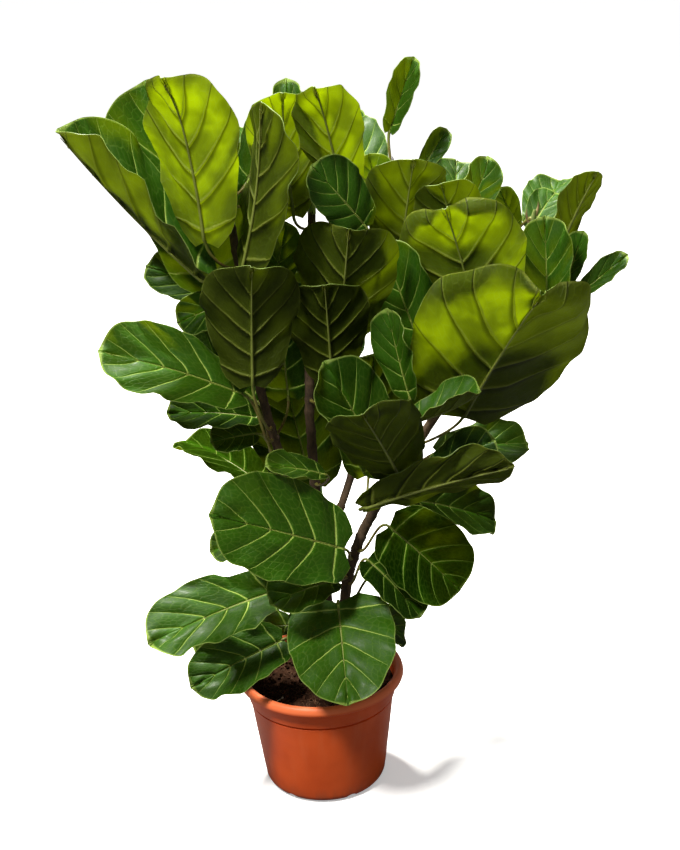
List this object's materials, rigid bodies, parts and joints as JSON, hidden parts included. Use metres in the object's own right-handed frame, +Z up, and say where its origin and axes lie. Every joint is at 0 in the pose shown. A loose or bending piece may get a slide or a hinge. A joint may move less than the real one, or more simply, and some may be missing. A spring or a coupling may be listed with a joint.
{
  "type": "potted fiddle leaf fig",
  "caption": "Fiddle leaf fig with large waved glossy leaves on forked woody stems, standing in a round tapered nursery pot filled with soil.",
  "frame": {"origin": "centre of the pot's flat underside, on the surface that it stands on", "axes": "+Z up along the plant, -Y towards the front, +X to the right as seen from the front"},
  "size_m": [0.823, 0.5265, 1.1539],
  "materials": {
    "pot_plastic": "satin terracotta-coloured nursery plastic",
    "potting_soil": "dark fibrous peat",
    "stem_bark": "rough brown bark",
    "leaf_green": "waxy green leaf",
    "shoot_green": "soft young green"
  },
  "bodies": {
    "root": {"leaf_centre_1": "leaf_green", "leaf_centre_2": "leaf_green", "leaf_centre_3": "leaf_green", "leaf_centre_4": "leaf_green", "leaf_centre_5": "leaf_green", "leaf_centre_6": "leaf_green", "leaf_centre_7": "leaf_green", "leaf_centre_8": "leaf_green", "leaf_centre_9": "leaf_green", "leaf_front_1": "leaf_green", "leaf_front_2": "leaf_green", "leaf_front_3": "leaf_green", "leaf_front_4": "leaf_green", "leaf_left_1": "leaf_green", "leaf_left_10": "leaf_green", "leaf_left_11": "leaf_green", "leaf_left_12": "leaf_green", "leaf_left_13": "leaf_green", "leaf_left_14": "leaf_green", "leaf_left_15": "leaf_green", "leaf_left_16": "leaf_green", "leaf_left_17": "leaf_green", "leaf_left_18": "leaf_green", "leaf_left_2": "leaf_green", "leaf_left_3": "leaf_green", "leaf_left_4": "leaf_green", "leaf_left_5": "leaf_green", "leaf_left_6": "leaf_green", "leaf_left_7": "leaf_green", "leaf_left_8": "leaf_green", "leaf_left_9": "leaf_green", "leaf_middle_1": "leaf_green", "leaf_middle_2": "leaf_green", "leaf_north_1": "leaf_green", "leaf_north_2": "leaf_green", "leaf_north_3": "leaf_green", "leaf_right_1": "leaf_green", "leaf_right_10": "leaf_green", "leaf_right_11": "leaf_green", "leaf_right_12": "leaf_green", "leaf_right_13": "leaf_green", "leaf_right_2": "leaf_green", "leaf_right_3": "leaf_green", "leaf_right_4": "leaf_green", "leaf_right_5": "leaf_green", "leaf_right_6": "leaf_green", "leaf_right_7": "leaf_green", "leaf_right_8": "leaf_green", "leaf_right_9": "leaf_green", "pot": "pot_plastic", "soil": "potting_soil", "stem_centre": "stem_bark", "stem_left": "stem_bark", "stem_right": "stem_bark", "tip_centre": "shoot_green", "tip_front": "shoot_green", "tip_left": "shoot_green", "tip_middle": "shoot_green", "tip_north": "shoot_green", "tip_right": "shoot_green"}
  },
  "joints": []
}
